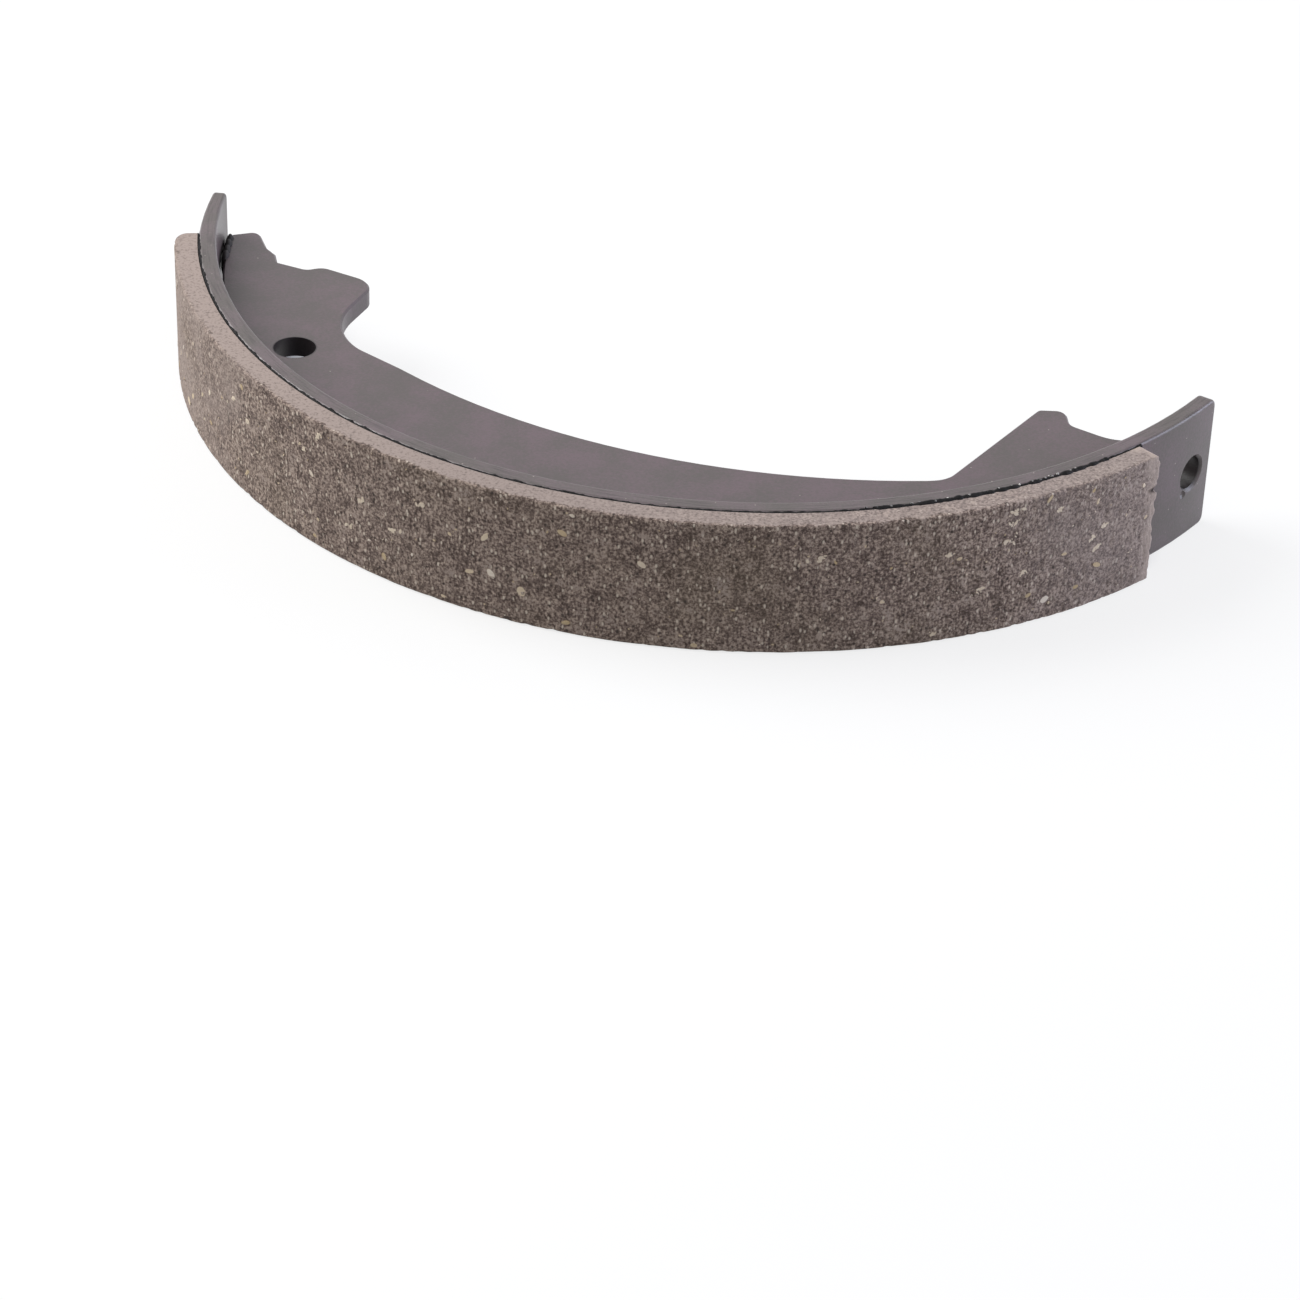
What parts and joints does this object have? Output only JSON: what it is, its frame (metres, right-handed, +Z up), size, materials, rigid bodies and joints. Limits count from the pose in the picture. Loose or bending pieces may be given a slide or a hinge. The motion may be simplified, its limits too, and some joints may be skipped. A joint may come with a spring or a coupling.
{
  "type": "brake shoe",
  "caption": "Curved drum brake shoe: a bent steel table with a bonded friction lining outside and a flat welded web inside, with shaped ends and a hold-down hole.",
  "frame": {"origin": "middle of the footprint of the shoe, on the surface it lies on", "axes": "+Z up, parallel to the drum's axis and normal to the web; +X from the horn end to the tab end; +Y from the crown of the lining towards the open side of the arc"},
  "size_m": [0.1462, 0.0898, 0.0196],
  "materials": {
    "painted_steel": "satin black-grey primer on pressed steel",
    "friction_material": "rough ground friction compound with fibres and metal chips",
    "adhesive": "glossy cured film"
  },
  "bodies": {
    "root": {"shoe_table": "painted_steel", "shoe_web": "painted_steel", "weld_spot_1": "painted_steel", "weld_spot_2": "painted_steel", "weld_spot_3": "painted_steel", "weld_spot_4": "painted_steel", "weld_spot_5": "painted_steel", "weld_spot_6": "painted_steel", "weld_spot_7": "painted_steel", "weld_spot_8": "painted_steel", "brake_lining": "friction_material", "bond_line": "adhesive"}
  },
  "joints": []
}
